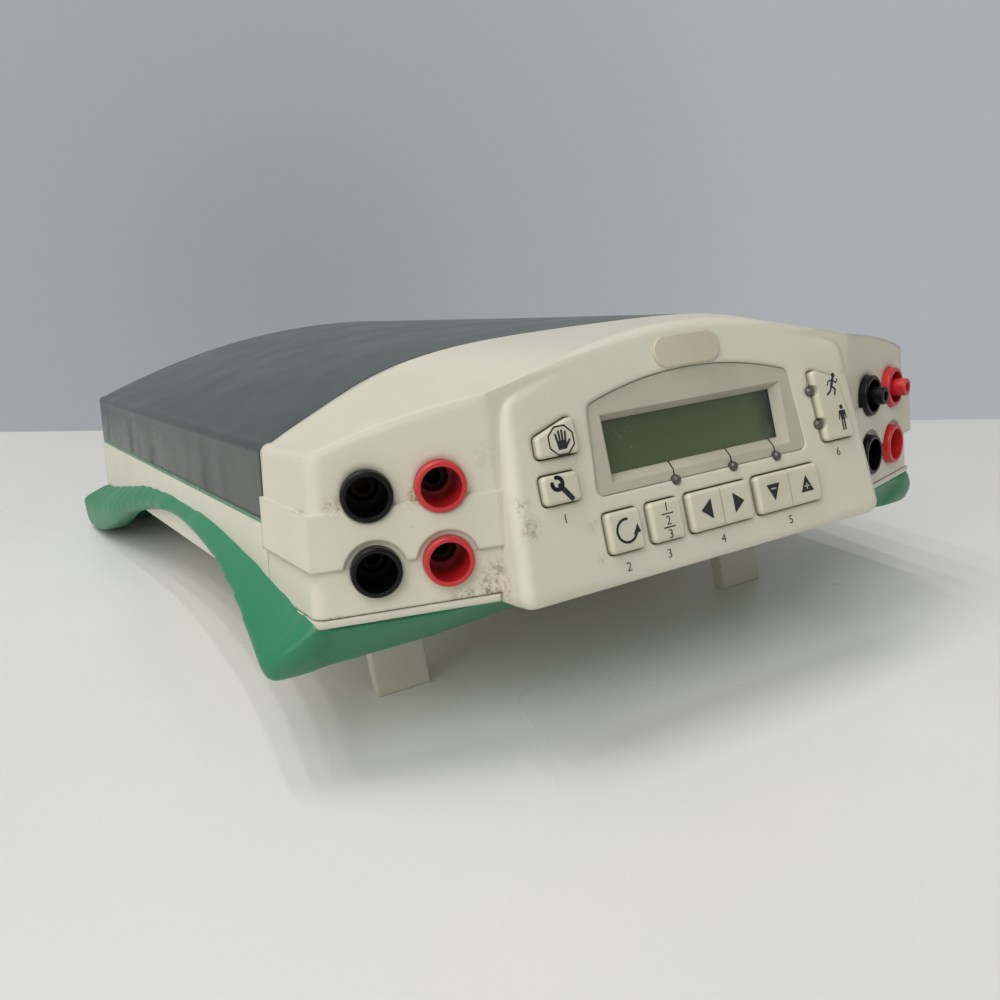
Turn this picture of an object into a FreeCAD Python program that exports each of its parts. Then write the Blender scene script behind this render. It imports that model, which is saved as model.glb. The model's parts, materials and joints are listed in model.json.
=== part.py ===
import FreeCAD, Part
import math
import os

V = FreeCAD.Vector

# All sizes in mm. The body is drawn level: X right, Y to the rear, Z up, the origin at the middle
# of the console's bottom edge. At the end everything is turned nose up on to the prop feet.

# main outline
console_lean = 12.2          # console face leaning back from the body's upright, degrees
flank_sweep = 17.8           # flanks swept back in plan, degrees
side_flare = 2.0             # each side opens towards the rear, degrees
side_draft = 4.5             # each side leans in towards the top, degrees
wall = 2.6                   # moulded wall
seam = 0.4                   # black line between two housing parts
body_rear = 318.0
cover_front = 64.0           # joint between front housing and rear cover
cover_low = 23.8             # lower edge of the rear cover
corner_y = 26.0              # where the half width below is measured
corner_z = 20.0
corner_half = 112.9
corner_round = 4.8           # upright edges between flank and side
corner_ease = 0.05           # the rounded plan stands this far outside the drafted side
shoulder = 3.4               # rounding between side and crown
lip_height = 2.6             # base lip under the front housing
trim_height = 1.3
tail_ease = [(2.2, 0.0), (0.7, 0.6), (0.0, 2.2)]   # rear edge: distance from the end, inset
base_floor = 3.0

# crown heights above the level base, from the middle to the shoulder
crown_nose = [(0, 65.0), (30, 62.8), (48, 59.6), (62, 56.2), (75, 53.8), (84, 52.4), (94, 50.8),
              (102, 49.2), (109, 47.2)]
crown_seam = [(0, 66.6), (30, 66.3), (48, 65.3), (62, 63.4), (75, 60.3), (84, 57.0), (94, 52.6),
              (102, 49.0), (109, 45.6)]
crown_tail = [(0, 67.6), (33, 65.9), (53, 63.1), (68, 60.2), (82, 56.8), (92, 54.0), (103, 50.6),
              (111, 47.9), (118.5, 45.1)]
nose_y = 4.0

# console slab, in its own plane: u across, v up the slope, n out of the face
slab_half_low = 67.4
slab_half_high = 62.9
slab_side_top = 55.8
slab_apex = 70.0
slab_depth = 15.0
slab_corner = 7.0
slab_foot_corner = 4.2
slab_edge = 3.6

# display
bezel_half_low = 39.4
bezel_half_high = 37.1
bezel_low = 25.1
bezel_side_top = 50.3
bezel_apex = 56.2
bezel_sunk = 0.5
bezel_thick = 3.2
bezel_corner = 2.4
window_half = 31.2
window_low = 30.5
window_high = 45.3
window_flare = 2.1
fit = 0.15

# keys
key_gap = 0.4
key_proud = 2.3
key_round = 1.1
key_flange = 0.5
key_travel = 0.9
key_back = 3.9
row_low = 8.8
row_high = 20.9
reset_span = (-39.7, -27.7)
constant_span = (-25.3, -13.5)
cursor_span = (-11.5, 12.5)
values_span = (14.1, 40.5)
setup_span = (-57.0, -44.8)
setup_low = 25.6
setup_high = 34.2
stop_outline = [(-56.5, 38.0), (-42.6, 38.0), (-42.9, 48.3), (-45.4, 48.3), (-56.3, 44.5)]
run_outline = [(45.8, 25.5), (59.3, 25.5), (55.9, 45.0), (47.0, 48.4), (44.2, 48.4)]
lamp_radius = 1.4
display_lamps = [(-12.3, 25.1), (9.1, 25.1), (26.4, 25.1)]
run_lamps = [(44.3, 42.0), (45.4, 31.6)]
board_face = 8.2             # board behind the console face
board_thick = 1.6
board_screws_at = [(-50, 11), (50, 11), (-47, 52.2), (47, 52.2)]
can_front = -3.8
plate_length = 24.0
plate_height = 9.0
plate_v = 61.0

# jacks on the flanks
flank_x = 89.0
flank_y = 20.1
jack_z = 24.2
jack_pitch = 19.05
jack_rise = 20.1
jack_rim = 13.5
jack_bore = 10.8
jack_tube = 12.2
jack_proud = 2.7
jack_depth = 24.0
jack_end = 3.0
jack_seat = 0.3
tail_radius = 1.8
nut_corner = 9.7
contact_outer = 6.4
contact_bore = 4.2
contact_sunk = 13.0
contact_drop = 0.5
jack_neck = 8.4
plug_barrel = 5.9
plug_pin = 4.0
plug_proud = 6.5
plug_hole = 3.2
band_proud = 1.2
band_low = 16.0
band_high = 31.0
band_relief = 8.4

# leg frame
front_foot_drop = 15.2
rear_foot_drop = 18.8
front_foot_y = 38.0
rear_foot_y = body_rear + 4.0
rear_foot_half = 22.0

# prop feet
prop_x = 74.0
prop_width = 18.5
prop_thick = 5.2
prop_reach_y = 77.0
prop_drop = 43.9
prop_axis_y = 84.0
prop_axis_z = -4.4
prop_pin = 3.0
lug_gap = 0.5
lug_thick = 3.0
prop_lean = math.degrees(math.atan2(prop_axis_y - prop_reach_y, prop_drop + prop_axis_z))

# screws holding cover to base
case_screws = [(-92, 96), (92, 96), (-98, body_rear - 32), (98, body_rear - 32)]
post_radius = 4.0
post_height = 7.5
screw_core = 1.3
screw_head = 3.4

# rear panel
panel_half = 97.0
panel_low = 4.6
panel_high = 48.4
panel_thick = 1.2
open_half = 94.0
open_low = 7.0
open_high = 46.0
panel_screws_at = [(-88, 12), (-88, 41), (88, 12), (88, 41)]
fan_size = 40.0
fan_thick = 20.0
fan_pitch = 32.0
guard_rings = (5.5, 9.8, 14.0, 17.9)
guard_wire = 0.6
guard_eye = 2.3
fan_x = 62.0
fan_z = 27.0
inlet_x = -62.0
inlet_z = 27.0
pin_sunk = 4.5
rocker_x = -22.0
rocker_rest = 9.0
rocker_pivot = 2.0
rocker_pivot_half = 6.4

# inside
board_z = 11.0
board_rear = body_rear - 48.0
standoffs_at = [(-80, 110), (80, 110), (-80, board_rear - 5), (80, board_rear - 5), (0, 188)]
capacitor_places = [(-35, 130, 11, 32), (-35, 158, 11, 32), (-8, 130, 8, 25), (-8, 150, 8, 25),
                    (-8, 170, 8, 25), (20, 124, 5, 16), (34, 124, 5, 16)]   # x, y, radius, height
centre_y = 161.974

tilt = math.degrees(math.atan2(prop_drop - rear_foot_drop, rear_foot_y - prop_reach_y))


def half_width(y, z):
    flare = (y - corner_y) * math.tan(math.radians(side_flare))
    draft = (corner_z - z) * math.tan(math.radians(side_draft))
    return corner_half + flare + draft


def line(a, b):
    return Part.makeLine(a, b)


def box(x0, x1, y0, y1, z0, z1):
    return Part.makeBox(x1 - x0, y1 - y0, z1 - z0, V(x0, y0, z0))


def rod(radius, height, at, axis=V(0, 0, 1)):
    return Part.makeCylinder(radius, height, at, axis)


def both(shape):
    """The shape and its mirror image about the middle plane."""
    return [shape, shape.mirror(V(0, 0, 0), V(1, 0, 0))]


def fused(shapes):
    first = shapes[0]
    if len(shapes) == 1:
        return first
    return first.multiFuse(shapes[1:]).removeSplitter()


def polygon(points, z=0.0):
    corners = [V(p[0], p[1], z) for p in points]
    return Part.makePolygon(corners + [corners[0]])


def prism(points, z0, z1):
    return Part.Face(polygon(points, z0)).extrude(V(0, 0, z1 - z0))


def console_place(shape):
    """From console coordinates (u, v, n) to the level body."""
    turned = shape.copy()
    turned.rotate(V(0, 0, 0), V(1, 0, 0), 90 - console_lean)
    return turned


def flank_place(shape, side):
    """From flank coordinates (along, up, out) to the level body."""
    turned = shape.copy()
    turned.rotate(V(0, 0, 0), V(1, 0, 0), 90)
    turned.rotate(V(0, 0, 0), V(0, 0, 1), side * flank_sweep)
    turned.translate(V(side * flank_x, flank_y, jack_z))
    return turned


def section(y, crown, z_low, inset=0.0):
    """Closed outline of the body across X at one Y."""
    z_side = crown[-1][1] - shoulder
    full = half_width(y, z_side)
    k = (full - inset) / full
    over = [V(k * x, y, z - inset) for x, z in crown]
    left = [V(-p.x, y, p.z) for p in reversed(over[1:])]
    curve = Part.BSplineCurve()
    curve.interpolate(left + over)
    low = half_width(y, z_low) - inset
    side = full - inset
    right_end = over[-1]
    side_end = V(side, y, z_side - inset)
    bulge = (right_end + side_end) * 0.5 + V(0.9, 0, 0.9)
    mirror = lambda p: V(-p.x, p.y, p.z)
    edges = [
        line(V(-low, y, z_low), V(low, y, z_low)),
        line(V(low, y, z_low), side_end),
        Part.Arc(side_end, bulge, right_end).toShape(),
        curve.toShape(),
        Part.Arc(mirror(right_end), mirror(bulge), mirror(side_end)).toShape(),
        line(mirror(side_end), V(-low, y, z_low)),
    ]
    return Part.Wire(Part.__sortEdges__(edges))


def blended(y):
    """Crown heights between nose and seam or seam and tail."""
    if y < cover_front:
        a, b, t = crown_nose, crown_seam, (y - nose_y) / (cover_front - nose_y)
    else:
        a, b, t = crown_seam, crown_tail, (y - cover_front) / (body_rear - cover_front)
    return [(p[0] + (q[0] - p[0]) * t, p[1] + (q[1] - p[1]) * t) for p, q in zip(a, b)]


def hull(y0, y1, z_low, inset=0.0):
    """Solid between two sections of the body."""
    return Part.makeLoft([section(y0, blended(y0), z_low, inset), section(y1, blended(y1), z_low, inset)],
                         True, True)


def eased_hull(y0, y1, z_low):
    """Solid between two sections, with the edge round the rear end eased."""
    sections = [section(y0, blended(y0), z_low)]
    for back, inset in tail_ease:
        sections.append(section(y1 - back, blended(y1 - back), z_low, inset))
    return Part.makeLoft(sections, True, True)


def room_section(y, inset, z_low):
    """Outline of the space inside the walls at one Y."""
    crown = blended(y)
    z_side = crown[-1][1] - shoulder
    side = half_width(y, z_side) - inset
    k = side / (side + inset)
    right = [V(half_width(y, z_low) - inset, y, z_low), V(side, y, z_side - inset)]
    right += [V(k * x, y, z - inset) for x, z in reversed(crown)]
    left = [V(-p.x, p.y, p.z) for p in reversed(right) if p.x > 1e-6]
    ring = right + left
    return Part.makePolygon(ring + [ring[0]])


def room(y0, y1, inset, z_low):
    """Space inside the walls between two sections."""
    return Part.makeLoft([room_section(y0, inset, z_low), room_section(y1, inset, z_low)], True, True)


def flank_line(x, offset):
    """Y of the flank surface at x, moved out by offset."""
    sweep = math.radians(flank_sweep)
    return flank_y + (abs(x) - flank_x) * math.tan(sweep) - offset / math.cos(sweep)


def plan(offset, y_back, z0, z1):
    """Everything behind the swept flanks, up to y_back."""
    wide = 160.0
    inner = slab_half_low - 1.0
    points = [(-wide, flank_line(wide, offset)), (-inner, flank_line(inner, offset)),
              (inner, flank_line(inner, offset)), (wide, flank_line(wide, offset)),
              (wide, y_back), (-wide, y_back)]
    return prism(points, z0, z1)


def slab_outline(inset=0.0, cut=0.0):
    """Console outline in its own plane, moved in by inset."""
    low = slab_half_low - inset
    high = slab_half_high - inset
    bottom = inset
    side_top = slab_side_top - inset * 0.6
    edges = [
        line(V(-low, bottom, 0), V(low, bottom, 0)),
        line(V(low, bottom, 0), V(high, side_top, 0)),
        Part.Arc(V(high, side_top, 0), V(0, slab_apex - inset, 0), V(-high, side_top, 0)).toShape(),
        line(V(-high, side_top, 0), V(-low, bottom, 0)),
    ]
    return Part.Wire(Part.__sortEdges__(edges))


def corner_edges(shape, axis=V(0, 0, 1)):
    """Straight edges running along the axis."""
    found = []
    for edge in shape.Edges:
        if len(edge.Vertexes) == 2:
            run = edge.Vertexes[1].Point - edge.Vertexes[0].Point
            if run.Length > 0.5 and abs(run.normalize().dot(axis)) > 0.999:
                found.append(edge)
    return found


def edges_at(shape, z, tolerance=0.01):
    """Edges lying in the plane at height z."""
    return [e for e in shape.Edges
            if abs(e.BoundBox.ZMin - z) < tolerance and abs(e.BoundBox.ZMax - z) < tolerance]


def rounded_prism(wire, z0, z1, corner, edge=0.0):
    """Prism on a flat outline with rounded corners and a rounded front edge."""
    base = wire.copy()
    base.translate(V(0, 0, z0))
    body = Part.Face(base).extrude(V(0, 0, z1 - z0))
    if corner:
        body = body.makeFillet(corner, corner_edges(body))
    if edge:
        body = body.makeFillet(edge, edges_at(body, z1))
    return body


def slab_prism(inset, z0, z1, edge=0.0):
    """Console slab with tight corners at its foot and wide ones at its top."""
    base = slab_outline(inset)
    base.translate(V(0, 0, z0))
    body = Part.Face(base).extrude(V(0, 0, z1 - z0))
    foot = [e for e in corner_edges(body) if e.BoundBox.YMax < slab_side_top / 2]
    body = body.makeFillet(slab_foot_corner - inset, foot)
    top = [e for e in corner_edges(body) if e.BoundBox.YMin > slab_side_top / 2]
    body = body.makeFillet(slab_corner - inset, top)
    if edge:
        body = body.makeFillet(edge, edges_at(body, z1))
    return console_place(body)


def slab_solid():
    return slab_prism(0.0, -slab_depth, 0, slab_edge).cut(box(-100, 100, -50, 100, -50, 0))


def slab_cavity():
    return slab_prism(wall, -slab_depth - 30, -wall)


def cheek(offset, z0, z1):
    """Crown and flanks in front of the cover joint, grown by offset."""
    block = hull(nose_y, cover_front, z0, -offset)
    block = block.common(plan(offset, cover_front, z0, z1))
    ahead = Part.makeBox(300, 200, 60, V(-150, -60, 0))
    return block.cut(console_place(ahead))


def side_corner(z):
    """Flank corner on the right at one height: tangent point, middle of the round, tangent point."""
    sweep = math.radians(flank_sweep)
    flare = math.radians(side_flare)
    low = flank_x
    high = flank_x + 60
    for _ in range(50):
        x = (low + high) / 2
        if half_width(flank_line(x, 0), z) + corner_ease > x:
            low = x
        else:
            high = x
    tip = V(low, flank_line(low, 0), z)
    inward = V(-math.cos(sweep), -math.sin(sweep), 0)
    rearward = V(math.sin(flare), math.cos(flare), 0)
    half_angle = inward.getAngle(rearward) / 2
    reach = corner_round / math.tan(half_angle)
    centre = tip + (inward + rearward).normalize() * (corner_round / math.sin(half_angle))
    middle = centre - (inward + rearward).normalize() * corner_round
    return tip + inward * reach, middle, tip + rearward * reach


def plan_wire(z):
    """Outline of the front in plan at one height, with rounded flank corners."""
    mirror = lambda p: V(-p.x, p.y, p.z)
    start, middle, end = side_corner(z)
    inner = V(slab_half_low - 1.0, flank_line(slab_half_low - 1.0, 0), z)
    back = V(half_width(cover_front, z) + corner_ease, cover_front, z)
    edges = [
        line(mirror(inner), inner),
        line(inner, start),
        Part.Arc(start, middle, end).toShape(),
        line(end, back),
        line(back, mirror(back)),
        line(mirror(back), mirror(end)),
        Part.Arc(mirror(end), mirror(middle), mirror(start)).toShape(),
        line(mirror(start), mirror(inner)),
    ]
    return Part.Wire(edges)


def soft_cheek():
    """Outer cheeks with the flank edges rounded."""
    low = lip_height + seam
    block = hull(nose_y, cover_front, low)
    block = block.common(Part.makeLoft([plan_wire(low), plan_wire(90)], True, True))
    return block.cut(console_place(Part.makeBox(300, 200, 60, V(-150, -60, 0))))


def band():
    """Raised strip round the flanks."""
    strip = cheek(band_proud, lip_height, 90).common(box(-150, 150, 0, cover_front, band_low, band_high))
    for side in (-1, 1):
        for along in (-0.5, 0.5):
            relief = rod(band_relief, 20, V(along * jack_pitch, -jack_rise / 2, -5))
            strip = strip.cut(flank_place(relief, side))
    return strip


def jack_centres():
    """Side, distance along the flank and height of each jack; the outer ones are first."""
    centres = []
    for side in (-1, 1):
        for column in (-0.5, 0.5):
            for row in (-0.5, 0.5):
                centres.append((side, column * jack_pitch, row * jack_rise))
    return centres


def span_outline(span, low, high):
    return [(span[0], low), (span[1], low), (span[1], high), (span[0], high)]


def grown(points, amount):
    """Outline moved outwards by amount (inwards when negative)."""
    wire = polygon(points)
    if abs(amount) < 1e-6:
        return wire
    return wire.makeOffset2D(amount, 2)


key_outlines = {
    "key_stop": stop_outline,
    "key_setup": span_outline(setup_span, setup_low, setup_high),
    "key_reset": span_outline(reset_span, row_low, row_high),
    "key_constant": span_outline(constant_span, row_low, row_high),
    "key_cursor": span_outline(cursor_span, row_low, row_high),
    "key_values": span_outline(values_span, row_low, row_high),
    "key_run": run_outline,
}
rocker_keys = ("key_cursor", "key_values")


def key_hole(name):
    hole = rounded_prism(grown(key_outlines[name], 0), -wall - 4, 6, 1.6)
    return console_place(hole)


def key_cap(name):
    """Cap with its retaining flange behind the console wall."""
    points = key_outlines[name]
    cap = rounded_prism(grown(points, -key_gap), -key_back, key_proud, 1.4, key_round)
    sunk = 1.0 if name in rocker_keys else 0.0
    top = -wall - 0.35 - sunk * 0.6
    flange = rounded_prism(grown(points, key_flange), -key_back - sunk * 0.4, top, 1.4)
    cap = cap.fuse(flange)
    if name in rocker_keys:
        span = cursor_span if name == "key_cursor" else values_span
        middle = (span[0] + span[1]) / 2
        groove = Part.Face(polygon([(middle - 0.9, 9.0), (middle, -0.9), (middle + 0.9, 9.0)]))
        groove.rotate(V(0, 0, 0), V(1, 0, 0), 90)
        groove.translate(V(0, row_low - 2, key_proud - 0.9))
        cap = cap.cut(groove.extrude(V(0, row_high - row_low + 4, 0)))
    if name == "key_run":
        for u, v in run_lamps:
            cap = cap.cut(rod(lamp_radius + 0.5, 12, V(u, v, -6)))
    return console_place(cap.removeSplitter())


def bezel_outline(inset=0.0):
    low = bezel_half_low - inset
    high = bezel_half_high - inset
    edges = [
        line(V(-low, bezel_low + inset, 0), V(low, bezel_low + inset, 0)),
        line(V(low, bezel_low + inset, 0), V(high, bezel_side_top - inset, 0)),
        Part.Arc(V(high, bezel_side_top - inset, 0), V(0, bezel_apex - inset, 0),
                 V(-high, bezel_side_top - inset, 0)).toShape(),
        line(V(-high, bezel_side_top - inset, 0), V(-low, bezel_low + inset, 0)),
    ]
    return Part.Wire(Part.__sortEdges__(edges))


def lamp_hole(u, v, radius, n0, n1):
    return console_place(rod(radius, n1 - n0, V(u, v, n0)))


def board_posts():
    """Posts behind the console face that carry the control board."""
    posts = []
    for u, v in board_screws_at:
        post = rod(2.3, board_face - 2.0, V(u, v, -board_face))
        posts.append(console_place(post.cut(rod(0.95, 7, V(u, v, -board_face - 2)))))
    return posts


def front_housing():
    outer = soft_cheek().fuse(slab_solid()).fuse(band())
    inner = room(nose_y, cover_front + 1, wall + 0.2, -1).common(plan(-wall, cover_front + 1, -1, 90))
    behind = Part.makeBox(300, 200, 60, V(-150, -60, -wall))
    inner = inner.cut(console_place(behind))
    shell = outer.cut(inner).cut(slab_cavity())
    cuts = [console_place(rounded_prism(bezel_outline(), -wall - 6, 3, bezel_corner))]
    cuts += [key_hole(name) for name in key_outlines]
    cuts += [lamp_hole(u, v, lamp_radius + 0.1, -wall - 2, 3) for u, v in display_lamps + run_lamps]
    for side, along, up in jack_centres():
        hole = rod(jack_tube / 2 + 0.1, 40, V(along, up, -10))
        seat = rod(jack_rim / 2 + 0.1, 12, V(along, up, -jack_seat))
        cuts.append(flank_place(hole.fuse(seat), side))
    shell = shell.cut(cuts)
    tongue = room(cover_front - 5, cover_front + 5, wall + 0.4, cover_low + 3)
    root = room(cover_front - 5, cover_front - 0.5, wall - 0.5, cover_low + 3)
    tongue = tongue.fuse(root).cut(room(cover_front - 6, cover_front + 6, wall + 2.2, cover_low - 1))
    return shell.multiFuse([tongue] + board_posts())


def cover_posts():
    """Screw posts hanging from the cover."""
    low = base_floor + post_height + 0.6
    return [rod(post_radius, 70, V(x, y, low)).cut(rod(screw_core + 0.05, 16, V(x, y, low - 1)))
            for x, y in case_screws]


def top_cover():
    front = cover_front + seam
    outer = eased_hull(front, body_rear, cover_low)
    shell = outer.cut(room(front - 5, body_rear - wall, wall, cover_low - 1))
    shell = shell.cut(box(-open_half, open_half, body_rear - 10, body_rear + 5, 0, open_high))
    return fused([shell] + [p.common(outer) for p in cover_posts()])


def tray_hull(y0, y1, z0, z1, inset=0.0):
    """Lower body between two heights, sides only drafted."""
    wires = []
    for y in (y0, y1):
        low = half_width(y, z0) - inset
        high = half_width(y, z1) - inset
        points = [V(-low, y, z0), V(low, y, z0), V(high, y, z1), V(-high, y, z1)]
        wires.append(Part.makePolygon(points + [points[0]]))
    return Part.makeLoft(wires, True, True)


def base_vents():
    slots = []
    for row in range(7):
        y = 130 + row * 16
        for x in (-62, 0, 62):
            slots.append(box(x - 16, x + 16, y, y + 4, -1, base_floor + 1))
    return slots


def prop_lugs():
    """Ears under the base on both sides of each prop foot."""
    lugs = []
    for x in (prop_x - prop_width / 2 - lug_gap - lug_thick, prop_x + prop_width / 2 + lug_gap):
        lug = box(x, x + lug_thick, prop_axis_y - 4, prop_axis_y + 4, prop_axis_z, 1)
        lug = lug.fuse(rod(4.0, lug_thick, V(x, prop_axis_y, prop_axis_z), V(1, 0, 0)))
        lug = lug.cut(rod(prop_pin / 2 + 0.05, 8, V(x - 2, prop_axis_y, prop_axis_z), V(1, 0, 0)))
        lugs += both(lug)
    return lugs


def base_shell():
    outer = tray_hull(nose_y, body_rear, 0, cover_low - trim_height - 0.1)
    outer = outer.common(plan(0.0, body_rear, -1, 60))
    outer = outer.makeFillet(1.8, [e for e in outer.Edges if e.BoundBox.ZMax < 0.01])
    outer = outer.cut(box(-160, 160, -10, cover_front + seam, lip_height, 60)).cut(rounded_clear())
    inner = tray_hull(nose_y + 6, body_rear - wall, base_floor, 60, wall)
    inner = inner.cut(box(-160, 160, -10, cover_front + seam + wall, -1, 60))
    tray = outer.cut(inner)
    tray = tray.cut(box(-open_half, open_half, body_rear - 10, body_rear + 5, open_low, 60))
    posts = [rod(post_radius, post_height + 0.5, V(x, y, base_floor - 0.5)) for x, y in case_screws]
    tray = tray.multiFuse(posts + prop_lugs())
    holes = [rod(screw_core + 0.4, 30, V(x, y, -5)).fuse(rod(screw_head + 0.2, 7, V(x, y, -5)))
             for x, y in case_screws]
    return tray.cut(holes + base_vents()).removeSplitter()


def rounded_clear():
    """Room for the console slab in front of the base."""
    return slab_prism(-seam, -slab_depth - seam, 5)


def cover_trim():
    """Thin coloured strip under the cover's side edge."""
    low = cover_low - trim_height
    high = cover_low - 0.1
    outer = tray_hull(cover_front + 1, body_rear - 3, low, high)
    return outer.cut(tray_hull(cover_front, body_rear, low - 1, high + 1, 1.6))


def rail_outline(y, z_top, z_low, out, brow):
    """Section of the right side rail across X at one Y."""
    wall_x = half_width(y, z_top)
    root = max(z_low, 0.0)
    middle = (root + z_top) / 2
    points = [V(wall_x, y, z_top), V(wall_x + out, y, z_low + brow), V(wall_x + out - 0.9, y, z_low + 1.1),
              V(wall_x + out - 2.6, y, z_low), V(half_width(y, root) - 2.4, y, z_low),
              V(half_width(y, middle) - 0.5, y, middle)]
    return Part.makePolygon(points + [points[0]])


def front_rail_outline(x):
    """Section of the front rail across Y at one X."""
    reach = abs(x)
    top = 17.5 if reach < slab_half_low + seam else flank_line(reach, 0) + 1.0
    low = -front_foot_drop + (0.0 if reach > 75 else (75 - reach) / 75 * 5.0)
    foot = front_foot_y + 2.0
    points = [V(x, top, -0.1), V(x, foot - 0.8, low + 1.2), V(x, foot + 0.8, low), V(x, foot + 7, low),
              V(x, foot + 13, -0.1)]
    return Part.makePolygon(points + [points[0]])


def rear_rail_outline(x, low):
    """Section of the rear rail across Y at one X."""
    back = rear_foot_y
    points = [V(x, body_rear + 0.6, 0.6), V(x, back, -3.5), V(x, back, low + 1.0), V(x, back - 1.0, low),
              V(x, back - 11, low), V(x, back - 15, -0.1), V(x, back - 11, 0.6)]
    return Part.makePolygon(points + [points[0]])


def leg_frame():
    """Arched frame with four splayed corner feet."""
    low = -front_foot_drop
    back = -rear_foot_drop
    run = [(0.1226, 4.2, low, 13.3, 7.0), (0.1447, 5.3, -11.4, 12.9, 5.4), (0.173, 6.5, -6.0, 12.0, 4.2),
           (0.2484, 10.2, 1.5, 9.2, 3.2), (0.3711, 15.2, 6.8, 6.2, 3.0), (0.5031, 17.0, 9.2, 4.8, 2.6),
           (0.6509, 15.6, 5.2, 5.6, 3.2), (0.7704, 12.0, -2.5, 8.2, 5.0), (0.8553, 8.2, -11.0, 10.8, 8.5),
           (0.9182, 4.8, -17.0, 12.2, 12.0), (0.9623, 2.6, back, 12.8, 14.4)]
    run = [(share * body_rear, *sizes) for share, *sizes in run]
    nose = [(0.0887 * body_rear, 2.9, -2.0, 1.2, 1.6), (0.1038 * body_rear, 3.4, -9.5, 8.8, 4.6), run[0]]
    tail = [run[-1], (body_rear, 1.2, back, 12.9, 14.8), (rear_foot_y, 0.4, back, 12.0, 14.6)]
    parts = both(Part.makeLoft([rail_outline(*at) for at in run], True, False))
    parts += both(Part.makeLoft([rail_outline(*at) for at in nose], True, True))
    parts += both(Part.makeLoft([rail_outline(*at) for at in tail], True, True))
    wide = corner_half + 4.1
    across = (-wide, -92, -75, -60, 0, 60, 75, 92, wide)
    parts.append(Part.makeLoft([front_rail_outline(x) for x in across], True, True))
    tip = half_width(body_rear, 0) + 1.3
    foot = tip - rear_foot_half
    arch = [(-tip, back), (-foot, back), (24 - foot, -10.0), (59 - foot, -6.0), (foot - 59, -6.0),
            (foot - 24, -10.0), (foot, back), (tip, back)]
    parts.append(Part.makeLoft([rear_rail_outline(x, z) for x, z in arch], True, True))
    frame = parts[0].multiFuse(parts[1:])
    housing = tray_hull(nose_y, body_rear + 0.15, -0.12, 30, -0.15)
    return frame.cut(housing).removeSplitter()


def prop_foot(side):
    """Flip-out foot, standing, with its tip on the floor plane."""
    half = prop_width / 2
    length = prop_drop + 6
    foot = box(-half, half, -prop_thick / 2, prop_thick / 2, -length, 0)
    foot = foot.fuse(rod(3.6, prop_width, V(-half, 0, 0), V(1, 0, 0)))
    foot = foot.cut(box(-half + 2, half - 2, prop_thick / 2 - 3.4, prop_thick, -length + 14, -6))
    foot = foot.cut(rod(prop_pin / 2 + 0.3, prop_width + 4, V(-half - 2, 0, 0), V(1, 0, 0)))
    foot.rotate(V(0, 0, 0), V(1, 0, 0), -prop_lean)
    foot.translate(V(side * prop_x, prop_axis_y, prop_axis_z))
    below = Part.makeBox(400, 400, 60, V(-200, -200, -60))
    below.rotate(V(0, 0, 0), V(1, 0, 0), tilt)
    below.translate(V(0, prop_reach_y, -prop_drop))
    return foot.cut(below)


def prop_pins():
    reach = prop_width + 2 * (lug_gap + lug_thick)
    pin = rod(prop_pin / 2, reach, V(prop_x - reach / 2, prop_axis_y, prop_axis_z), V(1, 0, 0))
    return Part.makeCompound(both(pin))


def display_bezel():
    face = -bezel_sunk
    back = face - bezel_thick
    plate = rounded_prism(bezel_outline(fit), back, face, bezel_corner - fit)
    flange = rounded_prism(bezel_outline(-1.3), back, -wall - 0.1, bezel_corner)
    plate = plate.fuse(flange)
    rings = []
    for grow, n in ((window_flare, face), (0.0, back)):
        half = window_half + grow
        points = [(-half, window_low - grow * 1.15), (half, window_low - grow * 1.15),
                  (half, window_high + grow * 0.8), (-half, window_high + grow * 0.8)]
        rings.append(polygon(points, n))
    plate = plate.cut(Part.makeLoft(rings, True, True))
    lamps = [rod(lamp_radius + 0.1, 12, V(u, v, -8)) for u, v in display_lamps]
    return console_place(plate.cut(lamps))


def lcd_can():
    can = box(-40, 40, window_low - 3.5, window_high + 4.2, -board_face + 0.1, can_front)
    can = can.cut(box(-35.2, 35.2, window_low - 2.9, window_high + 3.5, can_front - 1.3, 0))
    return console_place(can)


def lcd_glass():
    return console_place(box(-35, 35, window_low - 2.7, window_high + 3.3, can_front - 1.2, can_front - 0.1))


def control_board():
    board = box(-56, 56, 7, 54.5, -board_face - board_thick, -board_face)
    holes = [rod(1.2, 5, V(u, v, -board_face - 3)) for u, v in board_screws_at]
    return console_place(board.cut(holes))


def key_middles():
    """Places where a switch sits behind a key."""
    places = []
    for name, points in key_outlines.items():
        u = sum(p[0] for p in points) / len(points)
        v = sum(p[1] for p in points) / len(points)
        if name in rocker_keys:
            places += [(u - 6, v), (u + 6, v)]
        else:
            places.append((u, v))
    return places


def switches():
    parts = []
    for u, v in key_middles():
        body = box(u - 3, u + 3, v - 3, v + 3, -board_face, -board_face + 2.2)
        parts.append(console_place(body.fuse(rod(1.6, 1.0, V(u, v, -board_face + 2.2)))))
    return Part.makeCompound(parts)


def lamps(places):
    parts = []
    for u, v in places:
        lens = rod(lamp_radius, board_face - 0.2, V(u, v, -board_face + 0.2))
        tip = Part.makeSphere(lamp_radius, V(u, v, 0))
        parts.append(console_place(lens.fuse(tip)))
    return Part.makeCompound(parts)


def board_screws():
    parts = []
    for u, v in board_screws_at:
        low = -board_face - board_thick
        screw = rod(0.9, 6, V(u, v, low)).fuse(rod(2.0, 1.5, V(u, v, low - 1.5)))
        slot = box(u - 1.6, u + 1.6, v - 0.25, v + 0.25, low - 2, low - 0.8)
        parts.append(console_place(screw.cut(slot)))
    return Part.makeCompound(parts)


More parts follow.
